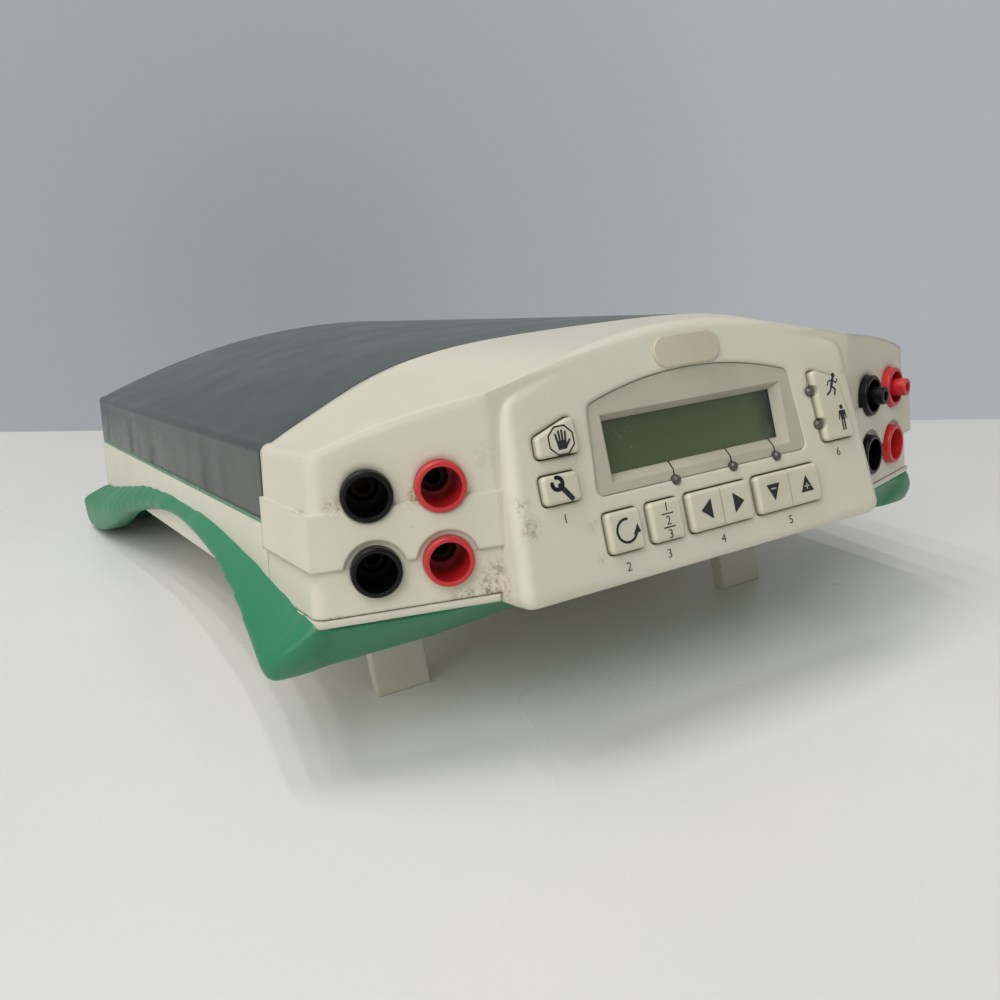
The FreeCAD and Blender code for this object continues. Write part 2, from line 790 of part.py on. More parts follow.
def name_plate():
    """Blank pill above the display."""
    half = plate_length / 2 - plate_height / 2
    bar = box(-half, half, plate_v - plate_height / 2, plate_v + plate_height / 2, 0.02, 0.9)
    ends = [rod(plate_height / 2, 0.88, V(x, plate_v, 0.02)) for x in (-half, half)]
    pill = bar.multiFuse(ends).removeSplitter()
    return console_place(pill.makeFillet(0.3, edges_at(pill, 0.9)))


def jack_shroud(along, up):
    ring = rod(jack_rim / 2, jack_proud + jack_seat - 0.1, V(along, up, -jack_seat + 0.1))
    ring = ring.makeFillet(0.6, [e for e in ring.Edges if abs(e.BoundBox.ZMin - jack_proud) < 0.01
                                 and abs(e.BoundBox.ZMax - jack_proud) < 0.01])
    body = ring.fuse(rod(jack_tube / 2, jack_depth, V(along, up, -jack_depth)))
    body = body.cut(rod(jack_bore / 2, 60, V(along, up, -contact_sunk)))
    body = body.cut(rod(jack_neck / 2, 60, V(along, up, -jack_depth + jack_end)))
    return body.cut(rod(tail_radius + 0.05, 10, V(along, up, -jack_depth - 4)))


def jack_contact(along, up):
    low = -jack_depth + jack_end
    sleeve = rod(contact_outer / 2, -contact_sunk - contact_drop - low, V(along, up, low))
    sleeve = sleeve.cut(rod(contact_bore / 2, 40, V(along, up, low + 0.8)))
    return sleeve.fuse(rod(tail_radius, 11, V(along, up, low - 10.5)))


def jack_nut(along, up):
    corners = []
    for k in range(6):
        turn = math.radians(60 * k + 90)
        corners.append((along + nut_corner * math.cos(turn), up + nut_corner * math.sin(turn)))
    nut = prism(corners, -wall - 5.0, -wall - 0.9)
    return nut.cut(rod(jack_tube / 2 + 0.05, 20, V(along, up, -15)))


def jack_set(make, want):
    """One part at each jack that want(side, along) picks."""
    chosen = [(side, along, up) for side, along, up in jack_centres() if want(side, along)]
    return Part.makeCompound([flank_place(make(along, up), side) for side, along, up in chosen])


def plug_barrel_at(column):
    along = column * jack_pitch
    up = jack_rise / 2
    barrel = rod(plug_barrel / 2, plug_proud + contact_sunk - 0.3, V(along, up, -contact_sunk + 0.3))
    barrel = barrel.makeFillet(0.4, [e for e in barrel.Edges if abs(e.BoundBox.ZMin - plug_proud) < 0.01])
    return flank_place(barrel.cut(rod(plug_hole / 2, 20, V(along, up, plug_proud - 9))), 1)


def plug_pin_at(column):
    low = -jack_depth + jack_end + 1.4
    pin = rod(plug_pin / 2, -contact_sunk + 0.3 - low, V(column * jack_pitch, jack_rise / 2, low))
    return flank_place(pin, 1)


def rear_panel():
    back = body_rear - wall - 0.1
    sheet = box(-panel_half, panel_half, back - panel_thick, back, panel_low, panel_high)
    start = back - 10
    end = back + 10
    cuts = [box(inlet_x - 14.2, inlet_x + 14.2, start, end, inlet_z - 16.2, inlet_z + 16.2),
            box(rocker_x - 7.2, rocker_x + 7.2, start, end, inlet_z - 11.2, inlet_z + 11.2),
            rod(fan_size / 2 - 2, 20, V(fan_x, start, fan_z), V(0, 1, 0))]
    for k in range(6):
        cuts.append(box(0, 24, start, end, 12 + 5.4 * k, 14.4 + 5.4 * k))
    for x, z in panel_screws_at + fan_holes():
        cuts.append(rod(1.7, 20, V(x, start, z), V(0, 1, 0)))
    return sheet.cut(cuts)


def panel_screws():
    face = body_rear - wall - 0.1
    parts = []
    for x, z in panel_screws_at:
        head = rod(2.7, 1.8, V(x, face, z), V(0, 1, 0))
        head = head.cut(box(x - 2, x + 2, face + 1.0, face + 3, z - 0.4, z + 0.4))
        parts.append(head.fuse(rod(1.5, 8, V(x, face - 8, z), V(0, 1, 0))))
    return Part.makeCompound(parts)


def inlet_socket():
    face = body_rear - wall - 0.1
    body = box(inlet_x - 16, inlet_x + 16, face, face + 2.2, inlet_z - 18, inlet_z + 18)
    body = body.makeFillet(2.0, corner_edges(body, V(0, 1, 0)))
    body = body.fuse(box(inlet_x - 14, inlet_x + 14, face - 24, face, inlet_z - 16, inlet_z + 16))
    z0 = inlet_z - 3.6
    half = 12.2
    mouth = [(-half, z0), (half, z0), (half, z0 + 11.6), (8.0, z0 + 16.4), (-8.0, z0 + 16.4),
             (-half, z0 + 11.6)]
    ring = [V(inlet_x + x, face + 5, z) for x, z in mouth]
    hollow = Part.Face(Part.makePolygon(ring + [ring[0]])).extrude(V(0, -21, 0))
    drawer = box(inlet_x - 11.4, inlet_x + 11.4, face - 20, face + 5, inlet_z - 14.2, inlet_z - 5.0)
    return body.cut(hollow).cut(drawer)


def inlet_pins():
    face = body_rear - wall - 0.1
    parts = []
    for side, rise in ((-7, 1.4), (7, 1.4), (0, 5.6)):
        x = inlet_x + side
        z = inlet_z + rise
        blade = box(x - 1, x + 1, face - 28, face - pin_sunk, z - 2, z + 2)
        tip = [e for e in blade.Edges if abs(e.BoundBox.YMin - face + pin_sunk) < 0.01]
        parts.append(blade.makeChamfer(0.5, tip))
    return Part.makeCompound(parts)


def fuse_drawer():
    face = body_rear - wall - 0.1
    drawer = box(inlet_x - 11, inlet_x + 11, face - 19, face + 1.4, inlet_z - 13.8, inlet_z - 5.4)
    drawer = drawer.cut(box(inlet_x - 9.6, inlet_x + 9.6, face - 18, face - 3, inlet_z - 12.4, inlet_z))
    grip = box(inlet_x - 4, inlet_x + 4, face + 0.5, face + 2, inlet_z - 10.4, inlet_z - 8.8)
    return drawer.cut(grip)


def switch_frame():
    face = body_rear - wall - 0.1
    frame = box(rocker_x - 9, rocker_x + 9, face, face + 2.0, inlet_z - 13, inlet_z + 13)
    frame = frame.makeFillet(1.2, corner_edges(frame, V(0, 1, 0)))
    frame = frame.fuse(box(rocker_x - 7, rocker_x + 7, face - 18, face, inlet_z - 11, inlet_z + 11))
    frame = frame.cut(box(rocker_x - 5.8, rocker_x + 5.8, face - 9, face + 5, inlet_z - 9.8, inlet_z + 9.8))
    reach = rocker_pivot_half + 0.4
    return frame.cut(rod(rocker_pivot / 2 + 0.05, 2 * reach, V(rocker_x - reach, face, inlet_z), V(1, 0, 0)))


def power_rocker():
    """Rocker lying in its off position."""
    face = body_rear - wall - 0.1
    outline = [V(0, -3.6, -4), V(0, 1.6, -9.2), V(0, 3.0, -8.2), V(0, 2.1, 0), V(0, 3.0, 8.2), V(0, 1.6, 9.2),
               V(0, -3.6, 4)]
    rocker = Part.Face(Part.makePolygon(outline + [outline[0]])).extrude(V(10.8, 0, 0))
    rocker.translate(V(-5.4, 0, 0))
    pivot = rod(rocker_pivot / 2, 2 * rocker_pivot_half, V(-rocker_pivot_half, 0, 0), V(1, 0, 0))
    rocker = rocker.fuse(pivot)
    rocker.rotate(V(0, 0, 0), V(1, 0, 0), rocker_rest)
    rocker.translate(V(rocker_x, face, inlet_z))
    return rocker


def fan_holes():
    """Screw places at the corners of the fan."""
    return [(fan_x + x, fan_z + z) for x in (-fan_pitch / 2, fan_pitch / 2)
            for z in (-fan_pitch / 2, fan_pitch / 2)]


def fan_frame():
    back = body_rear - wall - 0.1 - panel_thick - 0.1
    half = fan_size / 2
    frame = box(fan_x - half, fan_x + half, back - fan_thick, back, fan_z - half, fan_z + half)
    frame = frame.makeFillet(2.5, corner_edges(frame, V(0, 1, 0)))
    frame = frame.cut(rod(half - 1.6, 60, V(fan_x, back - 40, fan_z), V(0, 1, 0)))
    motor = rod(9.5, 3, V(fan_x, back - fan_thick, fan_z), V(0, 1, 0))
    struts = [motor]
    for k in range(3):
        strut = box(-1.2, 1.2, back - fan_thick, back - fan_thick + 2.4, 0, half - 1)
        strut.rotate(V(0, 0, 0), V(0, 1, 0), 120 * k + 20)
        strut.translate(V(fan_x, 0, fan_z))
        struts.append(strut)
    frame = frame.multiFuse(struts)
    holes = [rod(1.7, 60, V(x, back - 40, z), V(0, 1, 0)) for x, z in fan_holes()]
    return frame.cut(holes).removeSplitter()


def fan_rotor():
    back = body_rear - wall - 0.1 - panel_thick - 0.1
    low = back - fan_thick + 3.4
    high = back - 1.2
    hub = rod(9.5, high - low, V(fan_x, low, fan_z), V(0, 1, 0))
    hub = hub.makeFillet(1.0, [e for e in hub.Edges if abs(e.BoundBox.YMin - high) < 0.01])
    disc = rod(fan_size / 2 - 2.4, high - low - 1, V(fan_x, low + 0.5, fan_z), V(0, 1, 0))
    blades = []
    for k in range(7):
        blade = box(-0.7, 0.7, -12, 12, 8.8, 20)
        blade.rotate(V(0, 0, 0), V(0, 0, 1), 48)
        blade.rotate(V(0, 0, 0), V(0, 1, 0), 360 / 7 * k)
        blade.translate(V(fan_x, (low + high) / 2, fan_z))
        blades.append(blade.common(disc))
    return hub.multiFuse(blades).removeSplitter()


def fan_guard():
    """Wire finger guard outside the panel, with an eye round each screw."""
    level = body_rear - wall - 0.1 + guard_wire + 0.1
    rings = [Part.makeTorus(r, guard_wire, V(fan_x, level, fan_z), V(0, 1, 0)) for r in guard_rings]
    eyes = [Part.makeTorus(guard_eye, guard_wire, V(x, level, z), V(0, 1, 0)) for x, z in fan_holes()]
    reach = fan_pitch / 2 * math.sqrt(2) - guard_eye
    bars = []
    for angle, radius, rise in ((45, 0.5, 0.04), (135, 0.46, -0.03)):
        bar = rod(radius, 2 * reach, V(0, 0, -reach))
        bar.rotate(V(0, 0, 0), V(0, 1, 0), angle)
        bar.translate(V(fan_x, level + rise, fan_z))
        bars.append(bar)
    return fused(rings + eyes + bars)


def fan_screws():
    face = body_rear - wall - 0.1
    parts = []
    for x, z in fan_holes():
        head = rod(2.6, 1.6, V(x, face + 1.4, z), V(0, 1, 0))
        parts.append(head.fuse(rod(1.5, 20, V(x, face - 18.5, z), V(0, 1, 0))))
    return Part.makeCompound(parts)


def main_board():
    board = box(-85, 85, 105, board_rear, board_z, board_z + board_thick)
    return board.cut([rod(1.7, 20, V(x, y, 5)) for x, y in standoffs_at])


def standoffs():
    parts = []
    for x, y in standoffs_at:
        post = rod(3.0, board_z - base_floor, V(x, y, base_floor))
        parts.append(post.cut(rod(1.3, 9, V(x, y, board_z - 6))))
    return Part.makeCompound(parts)


def standoff_screws():
    parts = []
    top = board_z + board_thick
    for x, y in standoffs_at:
        parts.append(rod(2.8, 1.8, V(x, y, top)).fuse(rod(1.25, 7, V(x, y, top - 6.5))))
    return Part.makeCompound(parts)


def transformer_core():
    z0 = board_z + board_thick + 0.2
    front = board_rear - 56
    core = box(16, 70, front, front + 42, z0, z0 + 34)
    windows = [box(x, x + 11, front - 4, front + 46, z0 + 8, z0 + 26) for x in (25, 50)]
    return core.cut(windows)


def transformer_winding():
    z0 = board_z + board_thick + 0.2
    front = board_rear - 56
    coil = box(25.4, 60.6, front - 9, front + 51, z0 + 8.4, z0 + 25.6)
    coil = coil.makeFillet(4, corner_edges(coil))
    return coil.cut(box(35.8, 50.2, front - 0.4, front + 42.4, z0, z0 + 40))


def heat_sink():
    z0 = board_z + board_thick + 0.2
    parts = [box(-78, -74, 115, 225, z0, z0 + 28)]
    for k in range(6):
        parts.append(box(-74.5, -58, 115, 225, z0 + 1 + 5 * k, z0 + 2.6 + 5 * k))
    return parts[0].multiFuse(parts[1:]).removeSplitter()


def power_devices():
    z0 = board_z + board_thick + 0.2
    parts = []
    for k in range(4):
        y = 124 + 26 * k
        body = box(-83.2, -78.2, y, y + 15, z0 + 5, z0 + 24)
        legs = [box(-81, -80, y + 2 + 5 * j, y + 3 + 5 * j, z0, z0 + 5) for j in range(3)]
        parts.append(body.multiFuse(legs))
    return Part.makeCompound(parts)


def capacitors():
    z0 = board_z + board_thick + 0.2
    parts = []
    for x, y, r, h in capacitor_places:
        can = rod(r, h, V(x, y, z0))
        parts.append(can.makeFillet(0.8, [e for e in can.Edges if abs(e.BoundBox.ZMin - z0 - h) < 0.01]))
    return Part.makeCompound(parts)


def choke_cores():
    z0 = board_z + board_thick + 0.2
    parts = []
    for x, y in ((-30, 205), (-30, 240)):
        ring = Part.makeTorus(9, 4.2, V(x, y, z0 + 4.4), V(0, 0, 1))
        parts.append(ring)
    return Part.makeCompound(parts)


def case_bolts():
    parts = []
    for x, y in case_screws:
        head = rod(screw_head, 1.97, V(x, y, 0.0))
        cross = box(x - 2.0, x + 2.0, y - 0.45, y + 0.45, -1, 1.0)
        head = head.cut([cross, box(x - 0.45, x + 0.45, y - 2.0, y + 2.0, -1, 1.0)])
        parts.append(head.fuse(rod(screw_core, 22, V(x, y, 1.5))))
    return Part.makeCompound(parts)


def rating_plate():
    plate = box(-34, 34, body_rear - 62, body_rear - 28, -0.7, -0.05)
    return plate.makeFillet(2.5, corner_edges(plate))


def stand(shape):
    """Turns the level body nose up and sets it on the floor, centred."""
    turned = shape.copy()
    turned.rotate(V(0, 0, 0), V(1, 0, 0), -tilt)
    t = math.radians(tilt)
    lift = prop_drop * math.cos(t) + prop_reach_y * math.sin(t)
    turned.translate(V(0, -centre_y, lift))
    return turned


def write(name, shape):
    placed = stand(shape)
    if not placed.isValid():
        print("invalid", name)
    print(name, len(placed.Solids), round(placed.Volume))
    placed.exportStep("parts/%s.step" % name)


os.makedirs("parts", exist_ok=True)
write("front_housing", front_housing())
write("top_cover", top_cover())
write("cover_trim", cover_trim())
write("base_shell", base_shell())
write("leg_frame", leg_frame())
write("prop_foot_left", prop_foot(-1))
write("prop_foot_right", prop_foot(1))
write("prop_pins", prop_pins())
write("display_bezel", display_bezel())
write("lcd_can", lcd_can())
write("lcd_glass", lcd_glass())
write("control_board", control_board())
write("switches", switches())
write("display_lamps", lamps(display_lamps))
write("run_lamps", lamps(run_lamps))
write("board_screws", board_screws())
write("name_plate", name_plate())
for key_name in key_outlines:
    write(key_name, key_cap(key_name))
write("jacks_black", jack_set(jack_shroud, lambda side, along: along < 0))
write("jacks_red", jack_set(jack_shroud, lambda side, along: along > 0))
write("jack_contacts", jack_set(jack_contact, lambda side, along: True))
write("jack_nuts", jack_set(jack_nut, lambda side, along: True))
write("plug_black", plug_barrel_at(-0.5))
write("plug_pin_black", plug_pin_at(-0.5))
write("plug_red", plug_barrel_at(0.5))
write("plug_pin_red", plug_pin_at(0.5))
write("rear_panel", rear_panel())
write("panel_screws", panel_screws())
write("inlet_socket", inlet_socket())
write("inlet_pins", inlet_pins())
write("fuse_drawer", fuse_drawer())
write("switch_frame", switch_frame())
write("power_rocker", power_rocker())
write("fan_frame", fan_frame())
write("fan_rotor", fan_rotor())
write("fan_guard", fan_guard())
write("fan_screws", fan_screws())
write("main_board", main_board())
write("standoffs", standoffs())
write("standoff_screws", standoff_screws())
write("transformer_core", transformer_core())
write("transformer_winding", transformer_winding())
write("heat_sink", heat_sink())
write("power_devices", power_devices())
write("capacitors", capacitors())
write("choke_cores", choke_cores())
write("case_bolts", case_bolts())
write("rating_plate", rating_plate())
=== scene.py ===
import json
import math

import bmesh
import bpy
from mathutils import Matrix, Vector


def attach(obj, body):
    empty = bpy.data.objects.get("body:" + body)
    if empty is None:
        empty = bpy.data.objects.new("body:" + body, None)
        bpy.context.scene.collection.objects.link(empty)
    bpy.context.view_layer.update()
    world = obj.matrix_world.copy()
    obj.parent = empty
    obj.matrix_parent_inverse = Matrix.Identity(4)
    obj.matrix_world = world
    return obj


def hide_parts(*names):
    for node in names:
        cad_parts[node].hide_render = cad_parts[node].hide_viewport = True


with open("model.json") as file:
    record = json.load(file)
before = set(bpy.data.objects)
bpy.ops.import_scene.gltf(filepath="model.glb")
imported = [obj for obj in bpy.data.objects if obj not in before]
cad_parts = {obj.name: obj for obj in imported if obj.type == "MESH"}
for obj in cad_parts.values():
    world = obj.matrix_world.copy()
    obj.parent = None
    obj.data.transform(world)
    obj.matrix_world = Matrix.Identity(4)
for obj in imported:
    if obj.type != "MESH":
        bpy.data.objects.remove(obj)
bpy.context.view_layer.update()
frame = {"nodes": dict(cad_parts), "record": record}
nodes = frame["nodes"]

MM = 0.001

# how the level body stands on the bench
tilt = math.radians(5.8495)            # nose up on the flip-out feet
body_home = Vector((0.0, -161.974, 51.519)) * MM
console_lean = math.radians(12.2)
flank_sweep = math.radians(17.8)
flank_at = (89.0, 20.1, 24.2)          # middle of each jack group, level body

level = Matrix.Translation(body_home) @ Matrix.Rotation(-tilt, 4, "X")
console_turn = math.pi / 2 - console_lean - tilt
console = Matrix.Translation(body_home) @ Matrix.Rotation(console_turn, 4, "X")


def flank(side):
    """Frame of one flank: along, up, out."""
    x, y, z = flank_at
    place = Matrix.Translation(Vector((side * x, y, z)) * MM)
    turned = Matrix.Rotation(side * flank_sweep, 4, "Z") @ Matrix.Rotation(math.pi / 2, 4, "X")
    return level @ place @ turned


# Finishes

def srgb(red, green, blue):
    """Linear colour of a screen colour given as 0 to 255."""
    values = []
    for channel in (red, green, blue):
        c = channel / 255
        values.append(c / 12.92 if c <= 0.04045 else ((c + 0.055) / 1.055) ** 2.4)
    return (*values, 1.0)


class Finish:
    """One node material, with short ways to add its nodes."""

    def __init__(self, name):
        self.material = bpy.data.materials.new(name)
        self.material.use_nodes = True
        self.tree = self.material.node_tree
        self.shader = self.tree.nodes["Principled BSDF"]
        self.coord = self.add("ShaderNodeTexCoord").outputs["Object"]
        self.normal = None

    def add(self, kind, **settings):
        node = self.tree.nodes.new(kind)
        for key, value in settings.items():
            setattr(node, key, value)
        return node

    def link(self, output, socket):
        self.tree.links.new(output, socket)

    def place(self, frame_matrix):
        """Object coordinates read in another frame, in millimetres."""
        mapping = self.add("ShaderNodeMapping", vector_type="TEXTURE")
        mapping.inputs["Location"].default_value = frame_matrix.to_translation()
        mapping.inputs["Rotation"].default_value = frame_matrix.to_euler()
        mapping.inputs["Scale"].default_value = (MM, MM, MM)
        self.link(self.coord, mapping.inputs["Vector"])
        return mapping.outputs["Vector"]

    def noise(self, scale, detail=3.0, stretch=None, roughness=0.5, vector=None):
        texture = self.add("ShaderNodeTexNoise")
        texture.inputs["Scale"].default_value = scale
        texture.inputs["Detail"].default_value = detail
        texture.inputs["Roughness"].default_value = roughness
        source = vector or self.coord
        if stretch:
            mapping = self.add("ShaderNodeMapping")
            mapping.inputs["Scale"].default_value = stretch
            self.link(source, mapping.inputs["Vector"])
            source = mapping.outputs["Vector"]
        self.link(source, texture.inputs["Vector"])
        return texture.outputs["Fac"]

    def ramp(self, value, low, high, to_low=0.0, to_high=1.0):
        span = self.add("ShaderNodeMapRange")
        for socket, number in zip(("From Min", "From Max", "To Min", "To Max"), (low, high, to_low, to_high)):
            span.inputs[socket].default_value = number
        self.link(value, span.inputs["Value"])
        return span.outputs["Result"]

    def maths(self, operation, first, second):
        node = self.add("ShaderNodeMath", operation=operation)
        for socket, value in zip(node.inputs, (first, second)):
            if isinstance(value, (int, float)):
                socket.default_value = value
            else:
                self.link(value, socket)
        return node.outputs["Value"]

    def axis(self, vector, name):
        split = self.add("ShaderNodeSeparateXYZ")
        self.link(vector, split.inputs["Vector"])
        return split.outputs[name]

    def spot(self, vector, centre, radius):
        """1 at centre, fading to 0 at radius, in the vector's own units."""
        gap = self.add("ShaderNodeVectorMath", operation="DISTANCE")
        gap.inputs[1].default_value = centre
        self.link(vector, gap.inputs[0])
        return self.ramp(gap.outputs["Value"], radius, radius * 0.25)

    def mix(self, factor, first, second):
        node = self.add("ShaderNodeMix", data_type="RGBA")
        sockets = [s for s in node.inputs if s.name in ("A", "B") and s.type == "RGBA"]
        for socket, value in zip(sockets, (first, second)):
            if isinstance(value, tuple):
                socket.default_value = value
            else:
                self.link(value, socket)
        if isinstance(factor, (int, float)):
            node.inputs["Factor"].default_value = factor
        else:
            self.link(factor, node.inputs["Factor"])
        return [s for s in node.outputs if s.type == "RGBA"][0]

    def bump(self, height, strength, distance=0.0002):
        node = self.add("ShaderNodeBump")
        node.inputs["Strength"].default_value = strength
        node.inputs["Distance"].default_value = distance
        self.link(height, node.inputs["Height"])
        if self.normal:
            self.link(self.normal, node.inputs["Normal"])
        self.normal = node.outputs["Normal"]

    def soft_edges(self, radius, samples=6):
        node = self.add("ShaderNodeBevel", samples=samples)
        if isinstance(radius, float):
            node.inputs["Radius"].default_value = radius
        else:
            self.link(radius, node.inputs["Radius"])
        self.normal = node.outputs["Normal"]

    def finish(self, colour, roughness, metallic=0.0, coat=0.0, gloss=0.5):
        self.link(colour, self.shader.inputs["Base Color"])
        if isinstance(roughness, float):
            self.shader.inputs["Roughness"].default_value = roughness
        else:
            self.link(roughness, self.shader.inputs["Roughness"])
        self.shader.inputs["Metallic"].default_value = metallic
        self.shader.inputs["Specular IOR Level"].default_value = gloss
        self.shader.inputs["Coat Weight"].default_value = coat
        self.shader.inputs["Coat Roughness"].default_value = 0.12
        if self.normal:
            self.link(self.normal, self.shader.inputs["Normal"])
        return self.material


def shade(colour, factor):
    return tuple(min(1.0, c * factor) for c in colour[:3]) + (1.0,)


def moulded(name, colour, rough, grain=0.06, speck=0.25, edge=0.0, coat=0.0, metal=0.0, grain_scale=2600,
            gloss=0.5):
    """Plain moulded or plated part: mottled colour, fine grain and a little handling dirt."""
    f = Finish(name)
    if edge:
        f.soft_edges(edge)
    base = f.mix(f.ramp(f.noise(55), 0.35, 0.65), shade(colour, 0.94), shade(colour, 1.04))
    dirt = f.ramp(f.noise(420, 5.0, roughness=0.7), 0.62, 0.74, 0.0, speck)
    base = f.mix(dirt, base, shade(colour, 0.62))
    f.bump(f.noise(grain_scale, 2.0), grain)
    return f.finish(base, f.ramp(f.noise(90), 0.3, 0.7, rough - 0.05, rough + 0.07), metal, coat, gloss)


CREAM = srgb(217, 213, 195)
GRIME = srgb(132, 104, 62)
DARK_LINE_BROWN = srgb(70, 58, 42)


def cream_plastic(name, dirty):
    """Aged cream moulding. The dirty one carries the console's stains and darker lines along the band's edges."""
    f = Finish(name)
    flat = f.place(level)
    height = f.axis(flat, "Z")
    aside = f.ramp(f.maths("ABSOLUTE", f.axis(flat, "X"), 0.0), 67.5, 69.5)
    if dirty:
        crown = f.maths("MULTIPLY", f.ramp(height, 36.0, 41.0), f.ramp(aside, 0.0, 1.0, 0.35, 1.0))
        f.soft_edges(f.ramp(crown, 0.0, 1.0, 1.3 * MM, 4.2 * MM), 8)
    else:
        f.soft_edges(1.3 * MM)
    base = f.mix(f.ramp(f.noise(22, 4.0), 0.35, 0.65), shade(CREAM, 0.955), shade(CREAM, 1.02))
    yellow = f.ramp(f.noise(9, 3.0), 0.45, 0.75, 0.0, 0.35)
    base = f.mix(yellow, base, srgb(209, 201, 172))
    specks = f.ramp(f.noise(520, 6.0, roughness=0.75), 0.67, 0.72, 0.0, 0.5)
    base = f.mix(specks, base, srgb(120, 108, 84))
    if dirty:
        fine = f.ramp(f.noise(620, 7.0, roughness=0.8), 0.46, 0.62)
        at = f.place(console)
        for centre, radius, depth in console_stains:
            mask = f.maths("MULTIPLY", f.spot(at, centre, radius), fine)
            base = f.mix(f.maths("MULTIPLY", mask, depth), base, GRIME)
        # darker brown lines at the band's edges and low on the flanks, kept to the flanks ahead of the cover
        ahead = f.maths("MULTIPLY", f.ramp(f.axis(flat, "Y"), 63.0, 60.0), aside)
        patches = f.ramp(f.noise(60, 3.0), 0.46, 0.62)
        for low, reach, depth in dark_level_lines:
            line = f.ramp(f.maths("ABSOLUTE", f.maths("SUBTRACT", height, low), 0.0), reach, 0.0)
            line = f.maths("MULTIPLY", f.maths("MULTIPLY", line, ahead), f.maths("MULTIPLY", fine, patches))
            base = f.mix(f.maths("MULTIPLY", line, depth), base, DARK_LINE_BROWN)
        for side in (-1, 1):
            at = f.place(flank(side))
            for centre, radius, depth in flank_stains:
                mask = f.maths("MULTIPLY", f.spot(at, (side * centre[0], centre[1], centre[2]), radius), fine)
                base = f.mix(f.maths("MULTIPLY", mask, depth), base, GRIME)
    f.bump(f.noise(1900, 3.0), 0.06, 0.0002)
    f.bump(f.noise(160, 2.0), 0.03, 0.0004)
    return f.finish(base, f.ramp(f.noise(60, 3.0), 0.3, 0.7, 0.32, 0.44))


# stains on the console: centre (u, v, n), radius, strength
console_stains = [
    ((-62.5, 27.5, 0.0), 3.5, 0.7),
    ((-61.5, 21.5, 0.0), 4.0, 0.8),
    ((-45.0, 35.6, 0.0), 2.5, 0.5),
    ((-41.5, 9.0, 0.0), 2.5, 0.5),
    ((-43.0, 18.0, 0.0), 3.0, 0.45),
    ((61.0, 46.0, 0.0), 3.0, 0.4),
]
# stains on the flanks: along (negative is next to the console), up, out
flank_stains = [
    ((-21.0, -19.5, 0.0), 7.0, 0.95),
    ((-13.0, -20.5, 0.0), 5.0, 0.7),
    ((-22.0, -14.0, 0.0), 4.0, 0.6),
    ((-3.0, 8.0, 0.0), 4.0, 0.85),
    ((18.0, 8.5, 0.0), 4.0, 0.6),
    ((9.5, 10.0, 0.0), 9.0, 0.3),
    ((-9.5, 10.0, 0.0), 9.0, 0.3),
    ((9.5, -10.0, 0.0), 9.0, 0.25),
    ((-22.0, 16.0, 0.0), 5.0, 0.25),
]
# darker brown lines along level heights, broken up by noise: height, reach, strength
dark_level_lines = [(31.3, 0.7, 0.8), (15.7, 0.6, 0.5), (3.0, 0.8, 0.7)]


def cover_plastic():
    """Glossy dark shell, smudged along its sides, lightly dusty on top."""
    dark = srgb(52, 60, 57)
    f = Finish("cover_grey")
    f.soft_edges(2.4 * MM)
    base = f.mix(f.ramp(f.noise(12, 3.0), 0.35, 0.65), shade(dark, 0.95), shade(dark, 1.04))
    low = f.ramp(f.axis(f.place(level), "Z"), 44.0, 30.0)
    smudge = f.ramp(f.noise(55, 5.0, stretch=(1.0, 1.0, 0.35), roughness=0.6), 0.52, 0.68, 0.0, 0.45)
    smudge = f.maths("MULTIPLY", smudge, low)
    base = f.mix(smudge, base, srgb(38, 42, 41))
    dust = f.ramp(f.noise(700, 5.0, roughness=0.8), 0.69, 0.73, 0.0, 0.4)
    base = f.mix(dust, base, srgb(128, 130, 126))
    f.bump(f.noise(26, 2.0), 0.02, 0.0006)
    f.bump(f.noise(2200, 2.0), 0.015)
    rough = f.maths("ADD", f.ramp(f.noise(45, 4.0), 0.3, 0.7, 0.24, 0.32), f.maths("MULTIPLY", smudge, 0.3))
    return f.finish(base, rough, gloss=0.4)


def frame_green():
    """Satin green moulding with patches of darker dirt."""
    green = srgb(40, 126, 86)
    f = Finish("frame_green")
    f.soft_edges(0.8 * MM)
    base = f.mix(f.ramp(f.noise(18, 4.0), 0.35, 0.65), shade(green, 0.93), shade(green, 1.06))
    dirt = f.ramp(f.noise(150, 7.0, roughness=0.75), 0.6, 0.75, 0.0, 0.4)
    base = f.mix(dirt, base, srgb(38, 82, 60))
    specks = f.ramp(f.noise(600, 4.0, roughness=0.7), 0.7, 0.74, 0.0, 0.7)
    base = f.mix(specks, base, srgb(30, 52, 40))
    pale = f.ramp(f.noise(80, 5.0, stretch=(1, 6, 1), roughness=0.7), 0.66, 0.72, 0.0, 0.25)
    base = f.mix(pale, base, srgb(120, 175, 145))
    f.bump(f.noise(1500, 3.0), 0.05)
    return f.finish(base, f.ramp(f.noise(50, 3.0), 0.3, 0.7, 0.34, 0.46))


def key_plastic():
    """Grey-beige key caps with specks of dirt, and painted shade on their lower sides in the gap round each key.
    """
    beige = srgb(208, 202, 181)
    f = Finish("key_beige")
    f.soft_edges(0.6 * MM)
    base = f.mix(f.ramp(f.noise(70, 4.0), 0.35, 0.65), shade(beige, 0.95), shade(beige, 1.04))
    at = f.place(console)
    depth = f.axis(at, "Z")
    # painted shade: below 1.3 mm over the console the caps' sides darken towards the gap round each key
    base = f.mix(f.ramp(depth, 1.3, 0.1, 0.0, 0.5), base, srgb(104, 96, 80))
    specks = f.ramp(f.noise(800, 5.0, roughness=0.75), 0.66, 0.72, 0.0, 0.5)
    base = f.mix(specks, base, srgb(105, 92, 72))
    f.bump(f.noise(2600, 2.0), 0.06)
    return f.finish(base, f.ramp(f.noise(120), 0.3, 0.7, 0.36, 0.48))


